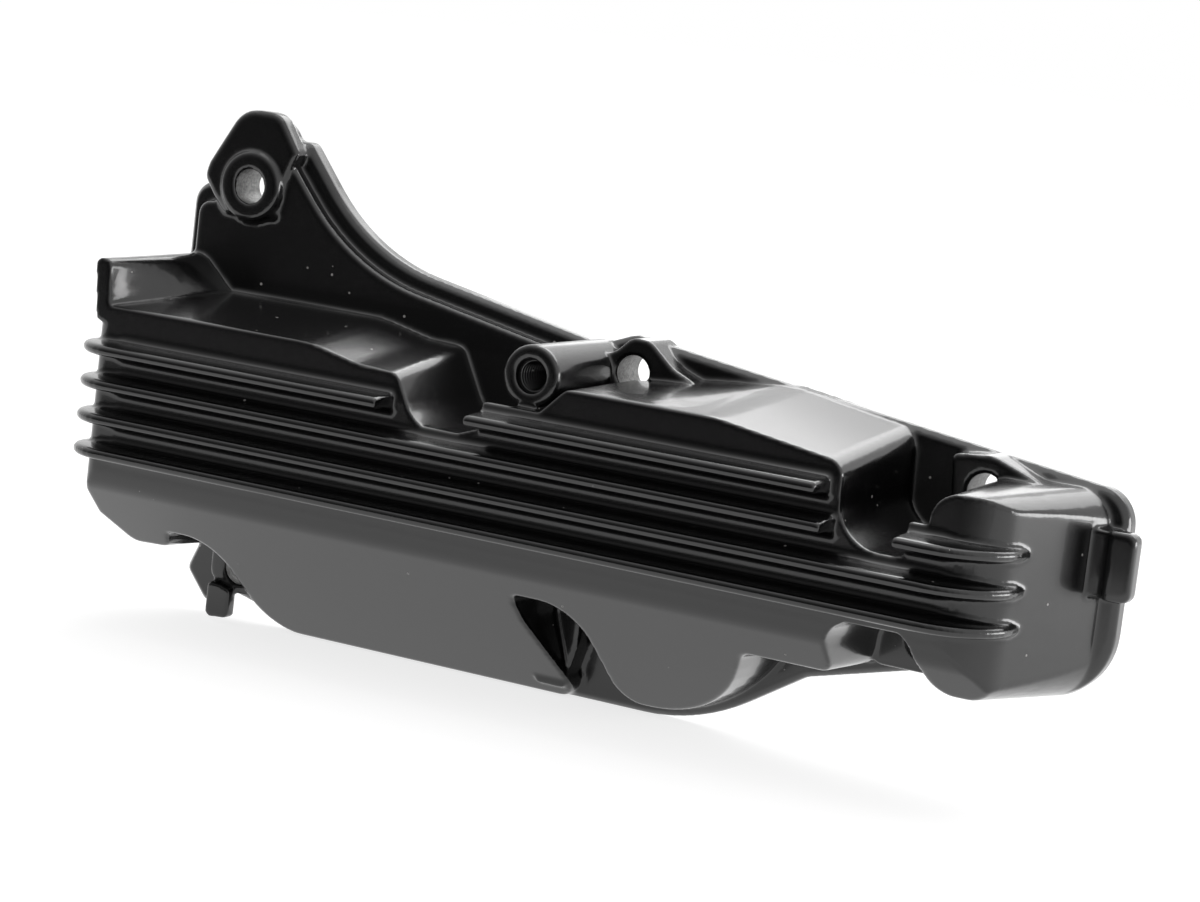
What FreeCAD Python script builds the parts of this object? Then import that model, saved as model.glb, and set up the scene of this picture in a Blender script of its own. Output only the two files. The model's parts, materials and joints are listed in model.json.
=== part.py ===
import FreeCAD, Part
import math
import os

# Finned oil pan: one die-cast piece with a mating flange, a tapped boss, bolt lugs and wrapped cooling fins.
# Frame, millimetres: X along the fins, Y leaves the mating face, Z up. The origin is the axis of the upper
# left bolt hole where it meets the mating face, so the whole casting lies at negative Y.

doc = FreeCAD.newDocument("oil_pan")
sheet = doc.addObject("Spreadsheet::Sheet", "Sizes")

SIZES = [
    ("flange_thick", 5.0), ("flange_bevel", 1.5), ("plate_front", 9.0), ("plate_bevel", 0.8), ("rim_ledge", 4.6),
    ("wall_thick", 4.0), ("front_depth", 43.0), ("wall_draft", 2.5), ("ledge_draft", 8.5), ("flare_angle", 17.0),
    ("pan_length", 265.2), ("pan_height", 80.0), ("left_reach", 21.8), ("ledge_drop", 33.2), ("ramp_round", 8.0),
    ("scallop_round", 11.0), ("scallop_one_x", 83.1), ("scallop_two_in", 41.2),
    ("lug_face", 12.0), ("pad_height", 1.6), ("pad_round", 9.2), ("bolt_bore", 9.0), ("bore_wall", 4.0),
    ("mid_hole_x", 118.0), ("mid_hole_z", -30.5), ("right_hole_in", 29.8), ("right_hole_z", -43.4),
    ("low_left_x", 9.5), ("low_left_up", 13.4), ("low_right_in", 39.4), ("low_right_up", 32.7),
    ("boss_x", 104.9), ("boss_z", -32.0), ("boss_od", 15.5), ("boss_length", 40.0), ("boss_bevel", 0.7),
    ("tap_drill", 6.8), ("tap_depth", 24.0), ("tap_mouth", 9.2),
    ("fin_pitch", 8.85), ("fin_first_z", -43.85), ("fin_reach", 9.0), ("fin_nose", 2.7), ("fin_draft", 5.0),
    ("fin_root", 1.7), ("fin_left_bend", 13.0), ("fin_right_bend", 17.0),
    ("pry_front", 12.4), ("post_front", 14.0),
]
for row, (name, value) in enumerate(SIZES, start=1):
    sheet.set("A%d" % row, name)
    sheet.set("B%d" % row, str(value))
    sheet.setAlias("B%d" % row, name)
doc.recompute()


def size(name):
    return float(sheet.get(name))


def vec(x, y, z=0.0):
    return FreeCAD.Vector(x, y, z)


def corner_path(corners, closed=True):
    """Lines and tangent arcs through a list of (u, v, radius) corners."""
    count = len(corners)
    points = [vec(c[0], c[1]) for c in corners]
    half, reaches = [0.0] * count, [0.0] * count
    for i in range(count):
        if closed or 0 < i < count - 1:
            a = points[i - 1] - points[i]
            b = points[(i + 1) % count] - points[i]
            half[i] = a.getAngle(b) / 2.0
            if half[i] < math.pi / 2.0 - 0.005:
                reaches[i] = corners[i][2] / math.tan(half[i])
    for i in range(count if closed else count - 1):
        j = (i + 1) % count
        room = (points[j] - points[i]).Length * 0.98
        if reaches[i] + reaches[j] > room:
            share = room / (reaches[i] + reaches[j])
            reaches[i], reaches[j] = reaches[i] * share, reaches[j] * share
    cuts = []
    for i in range(count):
        here = points[i]
        if reaches[i] <= 0:
            cuts.append((here, None, here))
            continue
        a = (points[i - 1] - here).normalize()
        b = (points[(i + 1) % count] - here).normalize()
        radius = reaches[i] * math.tan(half[i])
        centre = here + (a + b).normalize() * (radius / math.sin(half[i]))
        top = centre + (here - centre).normalize() * radius
        cuts.append((here + a * reaches[i], top, here + b * reaches[i]))
    pieces = []
    for i in range(count):
        start, top, end = cuts[i]
        if top is not None:
            pieces.append(Part.Arc(start, top, end))
        if closed or i < count - 1:
            nxt = cuts[(i + 1) % count][0]
            if (nxt - end).Length > 1e-4:
                pieces.append(Part.LineSegment(end, nxt))
    return pieces


FRONT = FreeCAD.Rotation(vec(1, 0, 0), vec(0, 0, 1), vec(0, -1, 0), "ZXY")   # u to X, v to Z
SIDE = FreeCAD.Rotation(vec(0, 1, 0), vec(0, 0, 1), vec(1, 0, 0), "ZXY")     # u to Y, v to Z
PLAN = FreeCAD.Rotation()                                                    # u to X, v to Y


def sketch(name, rotation, base, corners, closed=True):
    item = doc.addObject("Sketcher::SketchObject", name)
    item.addGeometry(corner_path(corners, closed), False)
    item.Placement = FreeCAD.Placement(base, rotation)
    return item


def prism(name, profile, direction, length):
    item = doc.addObject("Part::Extrusion", name)
    item.Base = profile
    item.DirMode = "Custom"
    item.Dir = direction
    item.Solid = True
    if isinstance(length, str):
        item.setExpression("LengthFwd", length)
    else:
        item.LengthFwd = length
    return item


def plateau(name, corners, height, back=0.0):
    """Flat-topped pad: an outline raised to a height above the mating plane, from that plane or from a depth."""
    base = sketch(name + "_outline", FRONT, vec(0, -back, 0), corners)
    return prism(name, base, vec(0, -1, 0), "%s - %s" % (height, back))


def boolean(kind, name, items):
    item = doc.addObject(kind, name)
    if kind == "Part::Cut":
        item.Base, item.Tool = items
    else:
        item.Shapes = items
    item.Refine = kind != "Part::MultiCommon"
    return item


def rod(name, x, z, front, back, radius):
    """Round bar along Y between two depths; radius and depths are expressions on the sheet."""
    item = doc.addObject("Part::Cylinder", name)
    item.setExpression("Radius", radius)
    item.setExpression("Height", "(%s) - (%s)" % (back, front))
    item.Placement = FreeCAD.Placement(vec(0, 0, 0), FreeCAD.Rotation(vec(1, 0, 0), -90))
    item.setExpression("Placement.Base.x", x)
    item.setExpression("Placement.Base.y", front)
    item.setExpression("Placement.Base.z", z)
    return item


def front_bevel(name, base, front, width):
    """Bevel on every edge that lies in one front plane of a solid."""
    doc.recompute()
    chosen = []
    for i, edge in enumerate(base.Shape.Edges, start=1):
        if all(abs(v.Point.y - front) < 1e-4 for v in edge.Vertexes):
            chosen.append((i, width, width))
    item = doc.addObject("Part::Chamfer", name)
    item.Base = base
    item.Edges = chosen
    return item


def moved_edges(corners, amounts):
    """Closed corner list with each edge moved outwards; where both edges move alike, the arc keeps its centre."""
    count = len(corners)
    area = sum(corners[i][0] * corners[(i + 1) % count][1] - corners[(i + 1) % count][0] * corners[i][1]
               for i in range(count))
    side = -1.0 if area > 0 else 1.0
    lines = []
    for i in range(count):
        a, b = vec(*corners[i][:2]), vec(*corners[(i + 1) % count][:2])
        along = (b - a).normalize()
        outward = vec(-along.y, along.x) * side
        lines.append((a + outward * amounts[i], along))
    result = []
    for i in range(count):
        (p, d), (q, e) = lines[i - 1], lines[i]
        cross = d.x * e.y - d.y * e.x
        reach = ((q.x - p.x) * e.y - (q.y - p.y) * e.x) / cross
        here = p + d * reach
        radius = corners[i][2]
        if abs(amounts[i - 1] - amounts[i]) < 1e-6 and radius > 0:
            radius += amounts[i] if cross * side < 0 else -amounts[i]
        result.append((here.x, here.y, max(radius, 0.0)))
    return result


def about(centre, corners):
    """Corners given from a hole's axis, moved to where that hole is."""
    return [(centre[0] + u, centre[1] + v, r) for u, v, r in corners]


S = "Sizes."
front_y = -size("front_depth")
flange_y = -size("flange_thick")
left_x, ledge_z = -size("left_reach"), -size("ledge_drop")
right_x, foot_z = left_x + size("pan_length"), ledge_z - size("pan_height")
ramp_z = foot_z + size("front_depth") - 8.8
block_x = right_x - 11.4
ledge, wall = size("rim_ledge"), size("wall_thick")
hole_b = (size("mid_hole_x"), size("mid_hole_z"))
hole_c = (right_x - size("right_hole_in"), size("right_hole_z"))
hole_d = (size("low_left_x"), foot_z + size("low_left_up"))
hole_e = (right_x - size("low_right_in"), foot_z + size("low_right_up"))
hook = size("scallop_round")
whole_length, whole_height = S + "pan_length + 40", S + "ledge_drop + " + S + "pan_height + 57"
one_x, two_x = size("scallop_one_x"), right_x - size("scallop_two_in")

# Mating flange: outline seen from the front, clockwise from the left edge, its front edge well rounded.
flange_outline = [
    (left_x, -1.2, 9.0), (-15.4, -0.8, 2.0), (-13.2, 2.5, 3.0), (-4.4, 17.6, 7.0), (4.6, 17.6, 6.0),
    (7.8, 13.0, 1.5), (12.6, 13.0, 2.4), (34.2, -12.9, 55.0), (103.6, -25.7, 10.0), (113.5, -21.8, 7.0),
    (right_x + 4.1, -38.9, 9.0), (right_x + 4.1, foot_z + 23.8, 17.0), (right_x - 42.8, foot_z + 23.4, 14.0),
    (171.0, foot_z + 15.6, 5.0), (143.4, foot_z - 2.0, 52.0), (22.0, foot_z - 2.0, 9.0), (12.2, foot_z + 2.6, 3.0),
    (6.6, foot_z + 4.1, 2.4), (2.4, foot_z + 4.9, 2.0), (-4.9, foot_z, 2.8), (-12.4, foot_z + 8.8, 2.4),
    (-8.6, foot_z + 17.8, 3.0), (left_x, foot_z + 29.0, 9.0),
]
flange = front_bevel("flange_bevelled", plateau("flange", flange_outline, S + "flange_thick"), flange_y,
                     size("flange_bevel"))

# Upper plate: the flange outline moved in by the ledge, proud of it as far as the lug and the pan.
rim = moved_edges(flange_outline, [-ledge] * len(flange_outline))
plate_outline = [
    rim[0], (-12.0, rim[0][1], 3.0), (-6.0, 4.0, 3.0), (6.0, 8.6, 3.0), (9.4, 8.6, 1.2), rim[7],
    (114.0, rim[8][1] - 1.6, 4.0), (114.0, -46.0, 2.0), (rim[0][0], -46.0, 2.0),
]
plate = front_bevel("plate_bevelled", plateau("plate", plate_outline, S + "plate_front"), -size("plate_front"),
                    size("plate_bevel"))

# Walls of the pan: the outline on the front plane; every edge drafts outwards towards the flange. A fifth
# value is how far a corner has sunk at the mating plane.
DRAFT, LEDGE, FLARE = size("wall_draft"), size("ledge_draft"), size("flare_angle")
walls_outline = [
    (left_x - 5.0, ledge_z, 0.0, LEDGE), (43.0, ledge_z, 30.0, LEDGE), (58.0, ledge_z - 3.2, 25.0, LEDGE),
    (one_x - 13.6, ledge_z - 3.7, 3.2, DRAFT), (one_x - 5.5, ledge_z - 19.2, hook, DRAFT),
    (108.5, -41.3, 9.0, DRAFT), (116.4, ledge_z, 3.6, LEDGE, 4.4), (156.0, ledge_z, 40.0, LEDGE),
    (two_x - 11.6, ledge_z - 5.0, 4.6, DRAFT), (two_x - 11.1, -57.3, hook - 0.2, DRAFT),
    (two_x + 11.1, -57.3, hook - 3.0, DRAFT), (two_x + 10.6, -40.4, 7.4, DRAFT), (block_x, -40.4, 9.0, FLARE),
    (block_x, foot_z + 25.4, 13.0, DRAFT), (hole_e[0] + 13.2, foot_z + 25.4, 8.0, DRAFT),
    (hole_e[0] + 6.8, foot_z + 39.2, 6.5, DRAFT), (hole_e[0] - 12.6, foot_z + 39.2, 8.0, DRAFT),
    (hole_e[0] - 14.2, foot_z + 24.8, 2.6, DRAFT), (166.2, foot_z + 24.8, 5.0, DRAFT),
    (152.2, foot_z + 2.6, 36.0, DRAFT), (126.0, foot_z + 2.6, 6.0, DRAFT), (121.4, foot_z + 27.2, 11.5, DRAFT),
    (103.4, foot_z + 27.2, 2.6, DRAFT), (103.6, foot_z + 19.7, 8.0, DRAFT), (110.4, foot_z, 3.0, DRAFT),
    (19.4, foot_z, 11.0, DRAFT), (hole_d[0] + 3.5, foot_z + 23.4, 11.0, DRAFT),
    (hole_d[0] - 10.7, foot_z + 23.4, 2.6, DRAFT), (-3.6, foot_z + 18.8, 2.6, DRAFT),
    (-14.4, foot_z + 18.2, 4.5, DRAFT), (left_x - 5.0, foot_z + 30.2, 0.0, DRAFT),
]


def drafted(y, gap=0.0):
    """The walls' outline at one depth, moved inwards by a gap."""
    plain = [c[:3] for c in walls_outline]
    inner = moved_edges(plain, [-gap] * len(plain)) if gap else plain
    moved = moved_edges(inner, [(y - front_y) * math.tan(math.radians(c[3])) for c in walls_outline])
    sag = [(c + (0.0,))[4] * (1.0 - y / front_y) for c in walls_outline]
    return [(u, v - drop, r) for (u, v, r), drop in zip(moved, sag)]


def ruled(name, sections):
    item = doc.addObject("Part::Loft", name)
    item.Sections = sections
    item.Solid = True
    item.Ruled = True
    return item


outer = ruled("outer_walls", [sketch("outer_front", FRONT, vec(0, front_y - 1.0, 0), drafted(front_y - 1.0)),
                              sketch("outer_back", FRONT, vec(0, -0.5, 0), drafted(-0.5))])


def side_profile(gap):
    """Flat front wall, rounded turn, then the ramp that runs down and back to the flange at 45 degrees."""
    front = front_y + gap
    turn = ramp_z + gap * 0.414
    return [(2.0, 30.0, 0.0), (front, 30.0, 0.0), (front, turn, size("ramp_round") - 0.4 * gap),
            (2.0, turn - (2.0 - front), 0.0)]


def plan_profile(gap, land=0.0):
    """Square rounded left end, and a right end wall that flares out to the flange."""
    flare = math.tan(math.radians(FLARE + 3.8))
    front = front_y + gap
    return [(left_x + gap + land, 2.0, 0.0), (left_x + gap, front, max(4.5 - gap, 1.0)),
            (right_x - gap + (front - flange_y) * flare, front, max(14.0 - gap, 1.0)),
            (right_x - gap + (2.0 - flange_y) * flare, 2.0, 0.0)]


side = prism("side_walls", sketch("side_profile", SIDE, vec(left_x - 10, 0, 0), side_profile(0.0)),
             vec(1, 0, 0), whole_length)
plan = prism("end_walls", sketch("plan_profile", PLAN, vec(0, 0, foot_z - 16), plan_profile(0.0)),
             vec(0, 0, 1), whole_height)
pan_outside = boolean("Part::MultiCommon", "pan_outside", [outer, side, plan])

# End hump: a thin wall at the front that swells into an S-shaped shoulder on the plate.
hump_z = ledge_z + 11.9
hump = ruled("end_hump", [
    sketch("hump_front", FRONT, vec(0, front_y, 0), [
        (left_x - 1.8, hump_z, 1.6), (-18.9, hump_z - 0.3, 1.6), (-18.2, ledge_z - 0.8, 1.0),
        (-8.0, ledge_z - 6.8, 1.0), (left_x, ledge_z - 4.0, 1.0)]),
    sketch("hump_back", FRONT, vec(0, -1.0, 0), [
        (left_x, hump_z + 0.4, 2.0), (-12.4, hump_z + 2.7, 8.0), (2.6, ledge_z + 4.6, 6.0),
        (10.0, ledge_z - 6.8, 1.0), (left_x, ledge_z - 4.0, 1.0)])])

# Fins: one tapered section with a full round nose and root fillets, swept round both ends.
reach = size("fin_reach")
nose_y = front_y - reach
fin_left = [(left_x + 0.4, -10.0, 0.0), (left_x - 4.4, nose_y, size("fin_left_bend"))]
fin_right = [(right_x - 9.6, nose_y, size("fin_right_bend")), (right_x - 9.6, -22.0, 0.0)]
fins = []


def fin_profile(name, base, rotation):
    """Section in (depth, height); depth runs from the nose into the wall."""
    nose = size("fin_nose") / 2.0
    root = nose + (reach - nose) * math.tan(math.radians(size("fin_draft")))
    fillet, sunk = size("fin_root"), reach + 3.0
    foot = root + fillet + 0.4
    flat, side = nose * 0.42, nose * 0.58
    corners = [(0.0, -flat, 0.0), (0.0, flat, 0.0), (side, nose, 0.0), (reach, root, fillet), (reach + 0.01, foot, 0.0),
               (sunk, foot, 0.0), (sunk, -foot, 0.0), (reach + 0.01, -foot, 0.0), (reach, -root, fillet), (side, -nose, 0.0)]
    return sketch(name, rotation, base, corners)


def fin(name, index, start, stop):
    """One fin at its height; a start or stop of None wraps round that end of the pan."""
    z = size("fin_first_z") - size("fin_pitch") * index
    corners = list(fin_left) if start is None else [(start, nose_y, 0.0)]
    corners += fin_right if stop is None else [(stop, nose_y, 0.0)]
    path = sketch(name + "_path", PLAN, vec(0, 0, z), corners, closed=False)
    along = vec(corners[1][0] - corners[0][0], corners[1][1] - corners[0][1]).normalize()
    rotation = FreeCAD.Rotation(vec(0, 0, 1).cross(along), vec(0, 0, 1), along * -1.0, "XYZ")
    sweep = doc.addObject("Part::Sweep", name)
    sweep.Sections = [fin_profile(name + "_section", vec(corners[0][0], corners[0][1], z), rotation)]
    sweep.Spine = path
    sweep.Solid = True
    sweep.Frenet = False
    sweep.Transition = "Transformed"
    fins.append(sweep)


fin("fin_one_left", 0, None, one_x - 13.6)
fin("fin_one_middle", 0, one_x + 11.1, two_x - 14.2)
fin("fin_two_main", 1, None, two_x - 11.9)
fin("fin_two_right", 1, two_x + 6.1, None)
fin("fin_three", 2, None, None)
fin("fin_four", 3, None, None)

# Lugs: the upper left plateau with its pad, the middle, right and lower ones, the post and the pry lug.
lug_a = plateau("left_lug", [
    (-15.6, 0.8, 3.0), (-14.6, 4.6, 4.0), (-5.6, 19.8, 8.0), (6.2, 19.8, 6.0), (12.9, 10.2, 1.6), (9.8, 2.6, 4.0),
    (8.4, -8.0, 2.0), (-8.4, -8.0, 2.0), (-12.4, -3.8, 2.0)], S + "lug_face - " + S + "pad_height", -flange_y)
lug_a = front_bevel("left_lug_bevelled", lug_a, -size("lug_face") + size("pad_height"), 1.0)
pad_a = front_bevel("left_pad_bevelled", rod("left_pad", "0", "0", "-" + S + "lug_face", "-1", S + "pad_round"),
                    -size("lug_face"), 0.8)
lug_b = plateau("middle_lug", about(hole_b, [
    (-11.2, 1.6, 1.5), (-5.0, 5.2, 5.0), (-1.4, 8.8, 4.0), (3.8, 8.6, 4.0), (11.0, 2.6, 8.0), (20.6, -1.0, 2.0),
    (20.6, -14.2, 2.0), (-5.4, -14.2, 1.5)]), S + "lug_face")
lug_c = plateau("right_lug", about(hole_c, [
    (-9.3, 7.9, 1.5), (0.9, 8.9, 7.0), (17.0, 3.2, 2.0), (17.0, -15.2, 2.0), (-7.0, -15.2, 2.0)]), S + "lug_face")
lug_d = plateau("low_left_lug", about(hole_d, [
    (-9.0, 9.8, 2.0), (10.5, 9.8, 2.0), (7.6, -6.9, 3.0), (-2.5, -6.9, 4.0), (-9.0, -3.6, 3.0)]), S + "lug_face")
lug_e = plateau("low_right_lug", about(hole_e, [
    (-13.5, 8.5, 2.0), (11.0, 8.5, 2.0), (11.0, -8.4, 3.0), (-13.5, -8.4, 3.0)]), S + "lug_face")
step = plateau("middle_low_step", [
    (101.0, foot_z + 29.2, 1.0), (112.4, foot_z + 29.2, 1.0), (112.0, foot_z + 13.2, 3.0),
    (109.0, foot_z + 1.2, 1.0), (101.0, foot_z + 1.2, 1.0)],
    S + "lug_face")
post = plateau("low_post", [
    (1.4, foot_z + 8.6, 1.2), (4.6, foot_z + 8.6, 1.0), (8.6, foot_z + 7.4, 1.2), (8.4, foot_z - 0.4, 1.6),
    (1.4, foot_z - 0.8, 1.6)], S + "post_front", 10.4)
pry_root = plateau("pry_root", [
    (right_x - 10.0, -47.0, 1.0), (right_x + 3.8, -47.0, 1.0), (right_x + 3.8, -62.9, 1.0),
    (right_x - 10.0, -62.9, 1.0)], S + "pry_front - 1.4")
pry = plateau("pry_lug", [
    (right_x + 2.0, -46.6, 0.8), (right_x + 8.9, -46.6, 2.4), (right_x + 8.9, -63.2, 2.4),
    (right_x + 2.0, -63.2, 0.8)], S + "pry_front", 7.2)
pry = front_bevel("pry_lug_bevelled", pry, -size("pry_front"), 0.7)
boss = front_bevel("boss_bevelled", rod("tapped_boss", S + "boss_x", S + "boss_z", "-" + S + "boss_length", "-1",
                                       S + "boss_od / 2"), -size("boss_length"), size("boss_bevel"))
solid = boolean("Part::MultiFuse", "casting_solid", [flange, plate, pan_outside, hump] + fins + [
    lug_a, pad_a, lug_b, lug_c, lug_d, lug_e, step, post, pry_root, pry, boss])

# Core: the space inside, one wall in from the outside all over, and open at the mating face.
core_walls = ruled("core_walls", [
    sketch("core_front", FRONT, vec(0, front_y + 2.0, 0), drafted(front_y + 2.0, wall)),
    sketch("core_back", FRONT, vec(0, 1.0, 0), drafted(1.0, wall))])
core_side = prism("core_side", sketch("core_side_profile", SIDE, vec(left_x - 10, 0, 0), side_profile(wall)),
                  vec(1, 0, 0), whole_length)
core_plan = prism("core_plan", sketch("core_plan_profile", PLAN, vec(0, 0, foot_z - 16), plan_profile(wall, 3.0)),
                  vec(0, 0, 1), whole_height)
core = boolean("Part::MultiCommon", "core", [core_walls, core_side, core_plan])
behind = moved_edges(plate_outline, [-3.2] * len(plate_outline))
upper_core = prism("upper_core", sketch("upper_core_outline", FRONT, vec(0, 1, 0), [
    (behind[0][0], -10.0, 6.0), (12.0, -10.0, 5.0), behind[5], (64.0, -29.0, 3.0), (64.0, -44.0, 2.0),
    (behind[0][0], -44.0, 2.0)]), vec(0, -1, 0), "1 + %splate_front - %swall_thick" % (S, S))
right_end = "(" + S + "pan_length - " + S + "left_reach - "
foot = "-" + S + "ledge_drop - " + S + "pan_height + "
holes = [(S + "mid_hole_x", S + "mid_hole_z"), (right_end + S + "right_hole_in)", S + "right_hole_z"),
         (S + "low_left_x", foot + S + "low_left_up"), (right_end + S + "low_right_in)", foot + S + "low_right_up")]
columns = [rod("column_%d" % i, x, z, "-" + S + "front_depth", "3", S + "bolt_bore / 2 + " + S + "bore_wall")
           for i, (x, z) in enumerate(holes)]
columns.append(rod("column_tap", S + "boss_x", S + "boss_z", "-" + S + "front_depth", "3", S + "boss_od / 2"))
trimmed = boolean("Part::Cut", "core_trimmed", [boolean("Part::MultiFuse", "cores", [core, upper_core]),
                                                boolean("Part::MultiFuse", "columns", columns)])

# Bores: the bolt holes right through, and the tapped hole with its countersunk mouth.
bores = [rod("bore_%d" % i, x, z, "-" + S + "lug_face - 0.5", "5", S + "bolt_bore / 2")
         for i, (x, z) in enumerate([("0", "0")] + holes)]
tap = rod("tap_bore", S + "boss_x", S + "boss_z", "-" + S + "boss_length - 1",
          "-" + S + "boss_length + " + S + "tap_depth", S + "tap_drill / 2")
mouth = doc.addObject("Part::Cone", "tap_mouth")
mouth.setExpression("Radius1", S + "tap_mouth / 2")
mouth.setExpression("Radius2", S + "tap_drill / 2")
mouth.setExpression("Height", "(" + S + "tap_mouth - " + S + "tap_drill) / 2")
mouth.Placement = FreeCAD.Placement(vec(0, 0, 0), FreeCAD.Rotation(vec(1, 0, 0), -90))
mouth.setExpression("Placement.Base.x", S + "boss_x")
mouth.setExpression("Placement.Base.y", "-" + S + "boss_length")
mouth.setExpression("Placement.Base.z", S + "boss_z")
cuts = boolean("Part::MultiFuse", "bores_and_core", [trimmed] + bores + [tap, mouth])
pan = boolean("Part::Cut", "oil_pan", [solid, cuts])
pan.Label = "oil_pan"
doc.recompute()

for item in doc.Objects:
    state = list(item.State)
    if "Invalid" in state or "Error" in state:
        raise RuntimeError("%s failed: %s" % (item.Name, state))
    if hasattr(item, "Shape") and item.Shape.isNull():
        raise RuntimeError("%s has no shape" % item.Name)
shape = pan.Shape
if not shape.isValid() or len(shape.Solids) != 1:
    raise RuntimeError("the casting is not one valid solid: %d" % len(shape.Solids))
print("solids", len(shape.Solids), "volume", round(shape.Volume))
os.makedirs("parts", exist_ok=True)
shape.exportStep("parts/oil_pan.step")
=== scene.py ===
# %% [markdown]
# The object is a finned oil pan: one aluminium die casting, painted gloss black outside, with its mating
# face and bolt holes machined bare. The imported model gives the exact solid, in metres, with the axis of the
# upper left bolt hole as the origin, Y out of the mating face and Z up. Everything here starts from that
# solid and from the holes that its record lists, so no place has to be fitted by eye.

# %% Load the frame
import json
import math
import bpy
import bmesh
from mathutils import Matrix, Vector
from mathutils.bvhtree import BVHTree


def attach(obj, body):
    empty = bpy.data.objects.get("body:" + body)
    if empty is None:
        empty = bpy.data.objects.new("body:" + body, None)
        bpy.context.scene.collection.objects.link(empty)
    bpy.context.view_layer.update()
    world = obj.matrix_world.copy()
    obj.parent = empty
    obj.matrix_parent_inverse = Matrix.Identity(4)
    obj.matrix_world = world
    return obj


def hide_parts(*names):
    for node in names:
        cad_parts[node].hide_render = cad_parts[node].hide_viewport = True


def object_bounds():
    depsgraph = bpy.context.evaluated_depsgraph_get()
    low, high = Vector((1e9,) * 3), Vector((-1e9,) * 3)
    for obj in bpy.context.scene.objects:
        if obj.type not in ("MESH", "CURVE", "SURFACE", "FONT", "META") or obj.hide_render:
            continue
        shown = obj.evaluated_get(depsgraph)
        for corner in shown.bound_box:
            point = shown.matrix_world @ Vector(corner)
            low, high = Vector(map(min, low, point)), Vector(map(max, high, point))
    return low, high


MM = 0.001
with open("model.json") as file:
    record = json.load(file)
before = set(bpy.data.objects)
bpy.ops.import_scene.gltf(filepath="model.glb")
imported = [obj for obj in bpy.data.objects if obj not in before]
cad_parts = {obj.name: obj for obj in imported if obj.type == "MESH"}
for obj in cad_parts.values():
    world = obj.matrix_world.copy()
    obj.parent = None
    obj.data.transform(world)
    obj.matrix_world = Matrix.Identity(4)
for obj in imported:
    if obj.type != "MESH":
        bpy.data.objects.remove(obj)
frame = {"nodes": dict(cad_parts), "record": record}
cad_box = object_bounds()
pan_node = frame["nodes"]["oil_pan"]
mounts = {mount["name"]: mount for mount in frame["record"]["mounts"]}
print("casting", [round((cad_box[1][i] - cad_box[0][i]) / MM, 1) for i in range(3)], "mm")
print("mounts", ", ".join(mounts))

# %% [markdown]
# The finish follows the order of the workshop: the casting is rounded as the mould leaves it, and then
# machined. Each stage has to change the mesh for good before the next one starts, so a modifier is applied
# as soon as it is set, and a tool is an object that is subtracted and removed.


# %% Helpers for meshes
def keep_result(piece):
    """Replace a piece's mesh by what its modifiers make of it."""
    result = bpy.data.meshes.new_from_object(piece.evaluated_get(bpy.context.evaluated_depsgraph_get()))
    piece.modifiers.clear()
    piece.data = result


def new_piece(name, bm):
    """Put a bmesh into the scene as an object."""
    mesh = bpy.data.meshes.new(name)
    bm.to_mesh(mesh)
    bm.free()
    piece = bpy.data.objects.new(name, mesh)
    bpy.context.collection.objects.link(piece)
    return piece


def add_rod(bm, x, z, radius, front, back, sides=72):
    """Add a closed round bar along Y between two depths."""
    made = bmesh.ops.create_cone(bm, cap_ends=True, segments=sides, radius1=radius, radius2=radius,
                                 depth=back - front)
    bmesh.ops.rotate(bm, verts=made["verts"], cent=(0, 0, 0), matrix=Matrix.Rotation(math.pi / 2, 3, "X"))
    bmesh.ops.translate(bm, verts=made["verts"], vec=(x, (front + back) / 2, z))


def cut_away(piece, cutter):
    """Subtract one object from another exactly, then remove the cutter."""
    cut = piece.modifiers.new("cut", "BOOLEAN")
    cut.operation = "DIFFERENCE"
    cut.solver = "EXACT"
    cut.object = cutter
    keep_result(piece)
    bpy.data.objects.remove(cutter)


# %% [markdown]
# The tapped boss holds a thread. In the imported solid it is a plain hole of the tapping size, so the hole is
# first widened to the thread's root, and the thread itself is added later as a piece of its own. The copy's
# doubles are merged before anything is cut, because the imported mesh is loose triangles. A foundry leaves a
# little extra metal on a face that will be machined, and the same is done here: the mating face stands proud
# until it is skimmed, so the rounding that follows can't touch its border.

# %% Copy the casting and widen the tapped hole
TOUCHING = 0.001 * MM
STOCK = 1.2 * MM
THREAD_ROOT = 4.05 * MM
THREAD_END = -17.0 * MM
BOSS_FRONT = -39.6 * MM
PAST_BOSS = 2.0 * MM
boss_x, _, boss_z = mounts["tapped_boss"]["pos_m"]

bm = bmesh.new()
bm.from_mesh(pan_node.data)
bmesh.ops.remove_doubles(bm, verts=bm.verts, dist=TOUCHING)
face_verts = [v for v in bm.verts if v.co.y > -TOUCHING]
bmesh.ops.translate(bm, verts=face_verts, vec=(0, STOCK, 0))
casting = new_piece("painted_casting", bm)

bm = bmesh.new()
add_rod(bm, boss_x, boss_z, THREAD_ROOT, BOSS_FRONT - PAST_BOSS, THREAD_END)
cut_away(casting, new_piece("root_cutter", bm))
print("casting copy", len(casting.data.polygons), "faces")

# %% [markdown]
# A die casting has no sharp edge that the mould made: every corner has a small round, and paint softens it
# further. The solid could be given a bevel modifier, but a bevel stops wherever two cuts meet at a shallow
# angle. A fine voxel remesh followed by smoothing rounds every edge and fills every inner corner by the same
# small amount, which is what a mould and a coat of paint do.

# %% Round the cast edges
VOXEL = 0.55 * MM
SOFT_STEP, SOFT_PASSES = 0.5, 5
KEPT_SHARE = 0.17

cast_skin = casting.modifiers.new("cast_skin", "REMESH")
cast_skin.mode = "VOXEL"
cast_skin.voxel_size = VOXEL
soften = casting.modifiers.new("soften", "SMOOTH")
soften.factor = SOFT_STEP
soften.iterations = SOFT_PASSES
thin = casting.modifiers.new("thin", "DECIMATE")
thin.ratio = KEPT_SHARE
keep_result(casting)
print("rounded casting", len(casting.data.polygons), "triangles")

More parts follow.
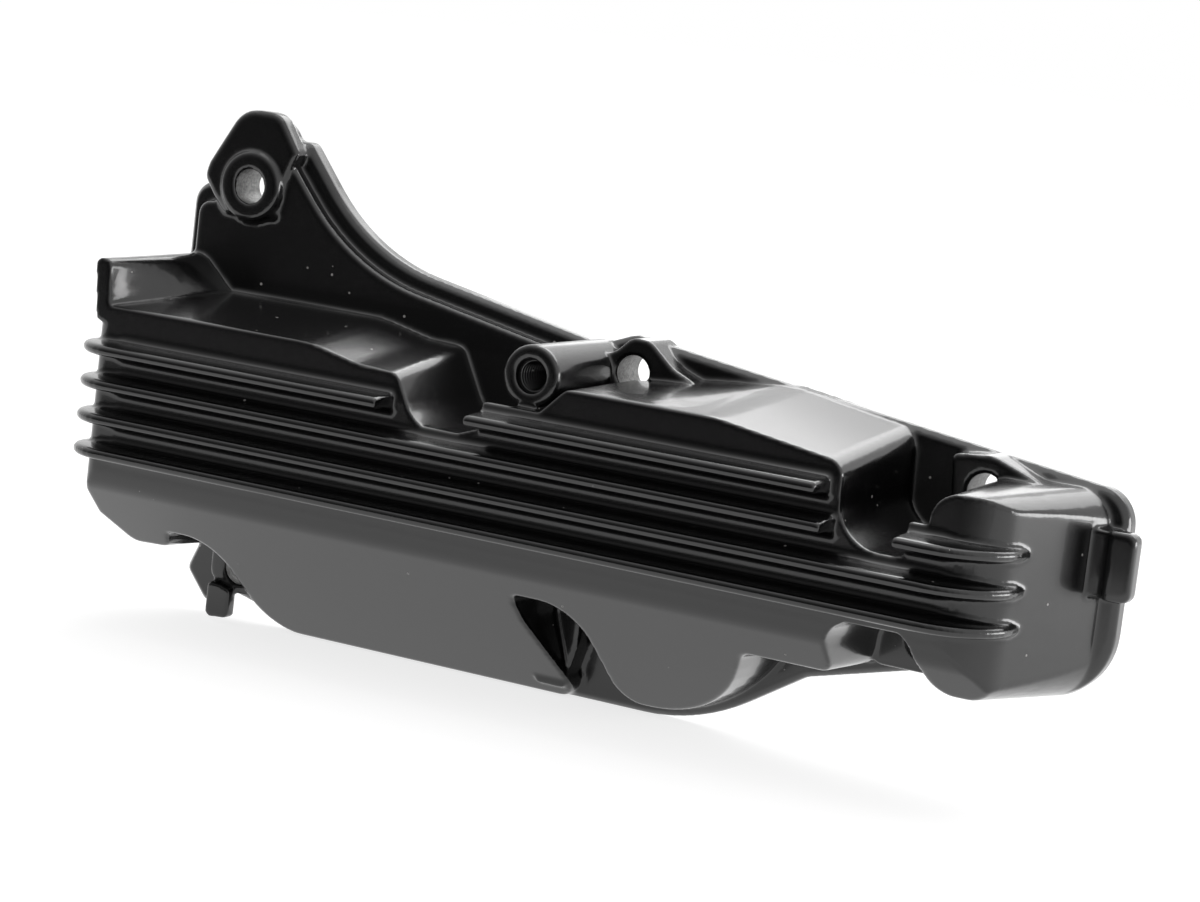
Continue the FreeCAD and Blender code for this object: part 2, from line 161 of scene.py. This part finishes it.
# %% [markdown]
# Machining comes after casting, so its edges are sharp. The mating face is skimmed and the five bolt holes
# are drilled again through the rounded skin, by exact booleans whose cutters carry a bare metal's slot: the
# faces that a cutter leaves behind are the bare ones, with a crisp border and nothing to mask.

# %% Skim the mating face and drill the bolt holes
SKIM = 0.005 * MM
MILL_WIDTH, MILL_DEPTH, MILL_HEIGHT = 0.4, 4.0 * MM, 0.3
MILL_X, MILL_Z = 0.1, -0.05
BOLT_BORE = 4.51 * MM
LUG_FRONT = -13.0 * MM
PAST_FACE = 3.0 * MM
COAT, MILLED, CAST, BORE = range(4)
for slot_name in ("black_coat", "milled_face", "as_cast", "drilled_bore"):
    casting.data.materials.append(bpy.data.materials.new(slot_name))
black_coat, milled_face, as_cast, drilled_bore = list(casting.data.materials)


def machining_cutter(name, bm, slot):
    """Make a tool whose cut faces take one of the casting's slots."""
    piece = new_piece(name, bm)
    for material in list(casting.data.materials):
        piece.data.materials.append(material)
    piece.data.polygons.foreach_set("material_index", [slot] * len(piece.data.polygons))
    return piece


bm = bmesh.new()
bmesh.ops.create_cube(bm, size=1.0)
bmesh.ops.scale(bm, verts=bm.verts, vec=(MILL_WIDTH, MILL_DEPTH, MILL_HEIGHT))
bmesh.ops.translate(bm, verts=bm.verts, vec=(MILL_X, MILL_DEPTH / 2 - SKIM, MILL_Z))
cut_away(casting, machining_cutter("skim_cutter", bm, MILLED))

bm = bmesh.new()
for mount in mounts.values():
    if mount["kind"] == "bore":
        add_rod(bm, mount["pos_m"][0], mount["pos_m"][2], BOLT_BORE, LUG_FRONT, PAST_FACE)
cut_away(casting, machining_cutter("bore_cutter", bm, BORE))
print("machined faces", sum(1 for p in casting.data.polygons if p.material_index in (MILLED, BORE)))

# %% [markdown]
# The inside of the pan holds oil and isn't painted. It needs no list of faces: the rim at the mating plane
# is a closed ring between the outside and the inside, so a walk that starts on the pan's inner wall and
# never crosses that rim reaches the inside and nothing else. The rim is what the mill left, and at one short
# corner the cast edge just below it, which the walk knows by its depth and because it looks the same way.

# %% Find the inside
INSIDE_POINT = (0.09, -0.02, -0.068)
RIM_DEPTH = 1.0 * MM
RIM_NORMAL = 0.7

bm = bmesh.new()
bm.from_mesh(casting.data)
bm.faces.ensure_lookup_table()
start = BVHTree.FromBMesh(bm).find_nearest(Vector(INSIDE_POINT))[2]
todo, inner = [bm.faces[start]], 0
while todo:
    face = todo.pop()
    if face.material_index == COAT:
        face.material_index = CAST
        inner += 1
        if face.normal.y < RIM_NORMAL or face.calc_center_median().y < -RIM_DEPTH:
            todo.extend(near for edge in face.edges for near in edge.link_faces)
print("inside faces", inner, "of", len(bm.faces))

# %% [markdown]
# The rounded skin has to shade as one smooth surface, and the milled face as one flat one. Shading breaks
# only where one finish meets another. Normals weighted by area keep the large flat walls flat right up to
# their rounded edges, where plain smooth shading would show a wave.

# %% Shade the casting and let it stand for the solid
AREA_WEIGHT = 80
borders = [edge for edge in bm.edges if len({face.material_index for face in edge.link_faces}) > 1]
for edge in borders:
    edge.smooth = False
for face in bm.faces:
    face.smooth = face.material_index != MILLED
bm.to_mesh(casting.data)
bm.free()
even = casting.modifiers.new("even_normals", "WEIGHTED_NORMAL")
even.weight = AREA_WEIGHT
even.keep_sharp = True
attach(casting, "root")
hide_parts("oil_pan")
print("border edges", len(borders))

# %% [markdown]
# A thread is one small profile carried round and along its axis at once, which is a spin with a step. The
# profile's foot lies just under the widened hole's wall, so nothing shows between the two.

# %% Thread in the boss
THREAD_CREST = 3.4 * MM
THREAD_PITCH = 1.25 * MM
FOOT_SUNK = 0.06 * MM
FLANK, CREST_FLAT = 0.5 * MM, 0.16 * MM
LEAD_IN, PLAIN_ENDS = 0.9 * MM, 3.0 * MM
STEPS = 32

turns = int((THREAD_END - BOSS_FRONT - PLAIN_ENDS) / THREAD_PITCH)
foot = THREAD_ROOT + FOOT_SUNK
corners = [(foot, 0.0), (THREAD_CREST, FLANK), (THREAD_CREST, FLANK + CREST_FLAT),
           (foot, 2 * FLANK + CREST_FLAT)]
bm = bmesh.new()
ring = [bm.verts.new((radius, along, 0)) for radius, along in corners]
profile = bm.faces.new(ring)
bmesh.ops.spin(bm, geom=[profile, *profile.edges, *ring], cent=(0, 0, 0), axis=(0, 1, 0),
               angle=math.tau * turns, steps=STEPS * turns,
               dvec=(0, THREAD_PITCH / STEPS, 0), use_duplicate=False)
bmesh.ops.recalc_face_normals(bm, faces=bm.faces)
bmesh.ops.translate(bm, verts=bm.verts, vec=(boss_x, BOSS_FRONT + LEAD_IN, boss_z))
thread = new_piece("boss_thread", bm)
thread.data.polygons.foreach_set("use_smooth", [True] * len(thread.data.polygons))
thread.data.materials.append(black_coat)
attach(thread, "root")
print("thread", turns, "turns", len(thread.data.polygons), "faces")


# %% [markdown]
# Effects that several finishes share are node groups that put out only a mask or a height. Dust is one
# random point in each cell of a fine grid, shown where a second random number is low, so a few pale specks
# lie far apart. Grain is noise at two sizes: the long soft waves of sprayed paint, or the short grit of a
# cast skin.

# %% Shared effects
def node_group(name, output, **inputs):
    """Start a group with float inputs, each given with its default, and one float output."""
    group = bpy.data.node_groups.new(name, "ShaderNodeTree")
    for label, value in inputs.items():
        socket = group.interface.new_socket(label, in_out="INPUT", socket_type="NodeSocketFloat")
        socket.default_value = value
    group.interface.new_socket(output, in_out="OUTPUT", socket_type="NodeSocketFloat")
    nodes = group.nodes
    return group, nodes, group.links, nodes.new("NodeGroupInput"), nodes.new("NodeGroupOutput")


def math_node(nodes, links, operation, first, second):
    """Add a Math node; each input is a number or another node's output."""
    node = nodes.new("ShaderNodeMath")
    node.operation = operation
    for socket, value in ((node.inputs[0], first), (node.inputs[1], second)):
        if isinstance(value, float):
            socket.default_value = value
        else:
            links.new(value, socket)
    return node.outputs[0]


dust_group, nodes, links, given, result = node_group("dust_specks", "Mask", Scale=150.0, Size=0.05,
                                                     Share=0.2)
where = nodes.new("ShaderNodeTexCoord")
cells = nodes.new("ShaderNodeTexVoronoi")
links.new(where.outputs["Object"], cells.inputs["Vector"])
links.new(given.outputs["Scale"], cells.inputs["Scale"])
pick = nodes.new("ShaderNodeSeparateColor")
links.new(cells.outputs["Color"], pick.inputs[0])
near = math_node(nodes, links, "LESS_THAN", cells.outputs["Distance"],
                 math_node(nodes, links, "MULTIPLY", given.outputs["Size"], pick.outputs[1]))
kept = math_node(nodes, links, "LESS_THAN", pick.outputs[0], given.outputs["Share"])
links.new(math_node(nodes, links, "MULTIPLY", near, kept), result.inputs["Mask"])

grain_group, nodes, links, given, result = node_group("surface_grain", "Height", Scale=900.0, Detail=2.0,
                                                      Stretch=1.0)
where = nodes.new("ShaderNodeTexCoord")
spread = nodes.new("ShaderNodeCombineXYZ")
spread.inputs["X"].default_value = spread.inputs["Z"].default_value = 1.0
links.new(given.outputs["Stretch"], spread.inputs["Y"])
drawn = nodes.new("ShaderNodeVectorMath")
drawn.operation = "MULTIPLY"
links.new(where.outputs["Object"], drawn.inputs[0])
links.new(spread.outputs[0], drawn.inputs[1])
noise = nodes.new("ShaderNodeTexNoise")
links.new(drawn.outputs[0], noise.inputs["Vector"])
links.new(given.outputs["Scale"], noise.inputs["Scale"])
links.new(given.outputs["Detail"], noise.inputs["Detail"])
links.new(noise.outputs["Fac"], result.inputs["Height"])
print("groups", dust_group.name, grain_group.name)

# %% [markdown]
# A finish here is always made the same way: a mask picks between two colours, a height is turned into a
# range of roughness and into a small bump, and the levels that don't vary are set on the shader itself. One
# helper for each of these keeps the finishes short enough to compare.


# %% Helpers for finishes
def place_group(material, group, **values):
    """Use a shared effect in a material and return its output."""
    node = material.node_tree.nodes.new("ShaderNodeGroup")
    node.node_tree = group
    for label, value in values.items():
        node.inputs[label].default_value = value
    return node.outputs[0]


def ranged(material, source, low, high):
    """Turn a 0 to 1 value into a value between two others."""
    node = material.node_tree.nodes.new("ShaderNodeMapRange")
    material.node_tree.links.new(source, node.inputs["Value"])
    node.inputs["To Min"].default_value, node.inputs["To Max"].default_value = low, high
    return node.outputs["Result"]


def bumped(material, height, distance):
    """Turn a height into a normal; the distance is the bump's depth in metres."""
    node = material.node_tree.nodes.new("ShaderNodeBump")
    node.inputs["Distance"].default_value = distance
    material.node_tree.links.new(height, node.inputs["Height"])
    return node.outputs["Normal"]


def two_colours(material, mask, low, high):
    """Mix two colours by a mask."""
    node = material.node_tree.nodes.new("ShaderNodeMix")
    node.data_type = "RGBA"
    material.node_tree.links.new(mask, node.inputs["Factor"])
    node.inputs["A"].default_value, node.inputs["B"].default_value = (*low, 1), (*high, 1)
    return node.outputs["Result"]


def shader_of(material, **levels):
    """Return a material's shader with its constant levels set."""
    material.use_nodes = True
    shader = material.node_tree.nodes["Principled BSDF"]
    for label, value in levels.items():
        shader.inputs[label.replace("_", " ")].default_value = value
    return shader


# %% [markdown]
# The coat is a smooth semi-gloss black enamel. Nearly all that is seen of it is reflection, so its base
# colour is very dark, its roughness varies only a little, and a shallow long-waved bump stands for the
# flow of sprayed paint. A few pale specks of dust lie on it, as they do in the studio photograph.

# %% Black coat
COAT_BLACK = (0.0022, 0.0022, 0.0024)
DUST = (0.35, 0.34, 0.33)
shader = shader_of(black_coat, Coat_Weight=0.5, Coat_Roughness=0.08)
links = black_coat.node_tree.links
specks = place_group(black_coat, dust_group, Scale=230.0, Size=0.09, Share=0.45)
flow = place_group(black_coat, grain_group, Scale=420.0, Detail=2.0)
links.new(two_colours(black_coat, specks, low=COAT_BLACK, high=DUST), shader.inputs["Base Color"])
links.new(ranged(black_coat, flow, low=0.2, high=0.27), shader.inputs["Roughness"])
links.new(bumped(black_coat, flow, distance=0.012 * MM), shader.inputs["Normal"])
print(black_coat.name, len(black_coat.node_tree.nodes), "nodes")


# %% [markdown]
# Machined aluminium is bare metal with the fine parallel lines of the cutter. The lines come from noise
# drawn out across the depth of the hole, so each bore gets rings, and the mating face, which lies at one
# depth, keeps only the soft clouding of a milled face. The bores' colour is much darker than the face's,
# near black to mid grey, as painted shade inside the holes; a drill also leaves them a rougher wall.

# %% Machined metal
def bare_metal(material, dark, bright, smooth, rough):
    """Give a material two greys and two roughnesses of cut aluminium."""
    shader = shader_of(material, Metallic=1.0)
    links = material.node_tree.links
    rings = place_group(material, grain_group, Scale=260.0, Detail=3.0, Stretch=14.0)
    grit = place_group(material, grain_group, Scale=1500.0, Detail=4.0)
    links.new(two_colours(material, grit, low=dark, high=bright), shader.inputs["Base Color"])
    links.new(ranged(material, rings, low=smooth, high=rough), shader.inputs["Roughness"])
    links.new(bumped(material, rings, distance=0.05 * MM), shader.inputs["Normal"])
    print(material.name, len(material.node_tree.nodes), "nodes")


bare_metal(milled_face, dark=(0.46, 0.46, 0.46), bright=(0.72, 0.72, 0.71), smooth=0.24, rough=0.46)
# The bores' near-black to mid-grey colour is painted shade inside the holes, not the metal's own colour.
bare_metal(drilled_bore, dark=(0.01, 0.01, 0.01), bright=(0.34, 0.34, 0.335), smooth=0.35, rough=0.6)

# %% [markdown]
# Inside, the pan keeps the skin it had when it left the mould: dull grey aluminium with a fine grit and
# slightly darker clouds. It is the same grain group, wide for the clouds and fine for the grit, with less
# polish than the machined faces.

# %% As-cast inside
CAST_DARK, CAST_PALE = (0.26, 0.26, 0.265), (0.42, 0.42, 0.42)
shader = shader_of(as_cast, Metallic=0.9)
links = as_cast.node_tree.links
clouds = place_group(as_cast, grain_group, Scale=45.0, Detail=4.0)
grit = place_group(as_cast, grain_group, Scale=1300.0, Detail=3.0)
links.new(two_colours(as_cast, clouds, low=CAST_DARK, high=CAST_PALE), shader.inputs["Base Color"])
links.new(ranged(as_cast, clouds, low=0.52, high=0.66), shader.inputs["Roughness"])
links.new(bumped(as_cast, grit, distance=0.05 * MM), shader.inputs["Normal"])
print(as_cast.name, len(as_cast.node_tree.nodes), "nodes")

# %% [markdown]
# The photograph is a product shot on white. The floor is pale paper whose own light, seen only by the
# camera and by reflections, lifts it to white while the object's soft shadow stays in what it scatters. It
# ends a little in front of the object, where the dark side of the studio begins.

# %% Floor
PAPER = (0.42, 0.42, 0.42, 1)
WHITE = (1, 1, 1, 1)
FLOOR_LIFT = 0.76
FLOOR_HALF, FLOOR_FRONT = 4.0, 0.36
FLOOR_GAP = 0.3 * MM

bm = bmesh.new()
bmesh.ops.create_grid(bm, x_segments=1, y_segments=1, size=1.0)
bmesh.ops.scale(bm, verts=bm.verts, vec=(FLOOR_HALF, FLOOR_HALF, 1.0))
bmesh.ops.translate(bm, verts=bm.verts, vec=(0.0, FLOOR_HALF - FLOOR_FRONT, cad_box[0][2] - FLOOR_GAP))
floor = new_piece("floor", bm)
paper = bpy.data.materials.new("floor_paper")
floor.data.materials.append(paper)
shader = shader_of(paper, Base_Color=PAPER, Roughness=0.9, Specular_IOR_Level=0.0, Emission_Color=WHITE)
nodes, links = paper.node_tree.nodes, paper.node_tree.links
path = nodes.new("ShaderNodeLightPath")
seen = math_node(nodes, links, "MAXIMUM", path.outputs["Is Camera Ray"], path.outputs["Is Glossy Ray"])
seen = math_node(nodes, links, "MAXIMUM", seen, path.outputs["Is Transmission Ray"])
links.new(math_node(nodes, links, "MULTIPLY", seen, FLOOR_LIFT), shader.inputs["Emission Strength"])
print("floor at Z", round((cad_box[0][2] - FLOOR_GAP) / MM, 1), "mm")

# %% [markdown]
# Black gloss shows the room more than its own colour. The room is a white sweep behind the object and a
# dark studio on the camera's side, so faces towards the camera stay black and the ledges turn pale. The
# world is that room for reflections, plain white for the camera, and an even soft light for the rest.

# %% World
DARK_SIDE = Vector((-0.30, -0.94, -0.15))
ROOM = {"From Min": 0.985, "From Max": 0.10, "To Min": 0.03, "To Max": 1.05}
SOFT_LIGHT, BACKDROP = 0.65, 1.0

world = bpy.data.worlds.new("studio")
bpy.context.scene.world = world
world.use_nodes = True
nodes, links = world.node_tree.nodes, world.node_tree.links
nodes.clear()
out = nodes.new("ShaderNodeOutputWorld")
path = nodes.new("ShaderNodeLightPath")
where = nodes.new("ShaderNodeTexCoord")
facing = nodes.new("ShaderNodeVectorMath")
facing.operation = "DOT_PRODUCT"
links.new(where.outputs["Generated"], facing.inputs[0])
facing.inputs[1].default_value = DARK_SIDE
room = nodes.new("ShaderNodeMapRange")
for label, value in ROOM.items():
    room.inputs[label].default_value = value
links.new(facing.outputs["Value"], room.inputs["Value"])


def background(strength):
    """Add white light of a strength that is a number or another node's output."""
    node = nodes.new("ShaderNodeBackground")
    node.inputs["Color"].default_value = WHITE
    if isinstance(strength, float):
        node.inputs["Strength"].default_value = strength
    else:
        links.new(strength, node.inputs["Strength"])
    return node.outputs[0]


def choose(factor, plain, chosen):
    """Take one of two lights by a ray's kind."""
    node = nodes.new("ShaderNodeMixShader")
    links.new(factor, node.inputs["Fac"])
    links.new(plain, node.inputs[1])
    links.new(chosen, node.inputs[2])
    return node.outputs[0]


lit = choose(path.outputs["Is Glossy Ray"], background(SOFT_LIGHT), background(room.outputs["Result"]))
links.new(choose(path.outputs["Is Camera Ray"], lit, background(BACKDROP)), out.inputs["Surface"])
print("world", len(nodes), "nodes")

# %% [markdown]
# The pale ledges and the long glints on the fins are the studio's softboxes, seen in the paint. A softbox
# is an area lamp, and each one here stands where the photograph's reflections point: one overhead, a long
# one high behind the object, one low at the right that lights the end, and one far behind at the left. Its
# energy is worked out from its area, so a softbox can be resized and stay as bright to look at.

# %% Lamps
OBJECT_CENTRE = Vector((0.11, -0.02, -0.05))


def softbox(name, place, width, height, radiance):
    """Add a rectangular lamp that faces the object and is hidden from the camera."""
    data = bpy.data.lights.new(name, "AREA")
    data.shape = "RECTANGLE"
    data.size, data.size_y = width, height
    data.energy = math.pi * width * height * radiance
    lamp = bpy.data.objects.new(name, data)
    lamp.location = place
    lamp.rotation_euler = (OBJECT_CENTRE - Vector(place)).to_track_quat("-Z", "Y").to_euler()
    lamp.visible_camera = False
    bpy.context.collection.objects.link(lamp)
    print(name, round(data.energy, 2), "W")


softbox("overhead_softbox", place=(0.1, 0.1, 1.2), width=1.0, height=0.8, radiance=0.9)
softbox("key_softbox", place=(0.22, 0.96, 0.93), width=1.5, height=0.6, radiance=2.6)
softbox("right_softbox", place=(1.1, 0.40, 0.03), width=0.7, height=0.30, radiance=7.0)
softbox("back_softbox", place=(-0.15, 1.5, 0.25), width=0.95, height=0.5, radiance=1.4)

# %% [markdown]
# The camera is the photograph's own. Its place and its focal length, in pixels of a photograph 1200 pixels
# wide, were solved from points that can be found both there and in the model, such as bolt holes and
# corners. The Standard view transform keeps the backdrop white instead of grey.

# %% Camera
SENSOR_WIDTH = 36.0
FOCAL_PIXELS, PHOTO_WIDTH = 3460.0, 1200.0
CAMERA_PLACE = (0.5022, -0.7671, 0.0673)
CAMERA_RIGHT = Vector((0.8743, 0.4706, 0.1184))
CAMERA_UP = Vector((-0.1691, 0.0666, 0.9833))
CAMERA_BACK = Vector((0.4549, -0.8798, 0.1378))

camera_data = bpy.data.cameras.new("camera")
camera_data.sensor_width = SENSOR_WIDTH
camera_data.lens = SENSOR_WIDTH * FOCAL_PIXELS / PHOTO_WIDTH
camera = bpy.data.objects.new("camera", camera_data)
bpy.context.collection.objects.link(camera)
turn = Matrix((CAMERA_RIGHT, CAMERA_UP, CAMERA_BACK)).transposed().to_4x4()
camera.matrix_world = Matrix.Translation(CAMERA_PLACE) @ turn
bpy.context.scene.camera = camera
bpy.context.scene.view_settings.view_transform = "Standard"
print("camera lens", round(camera_data.lens, 1), "mm")
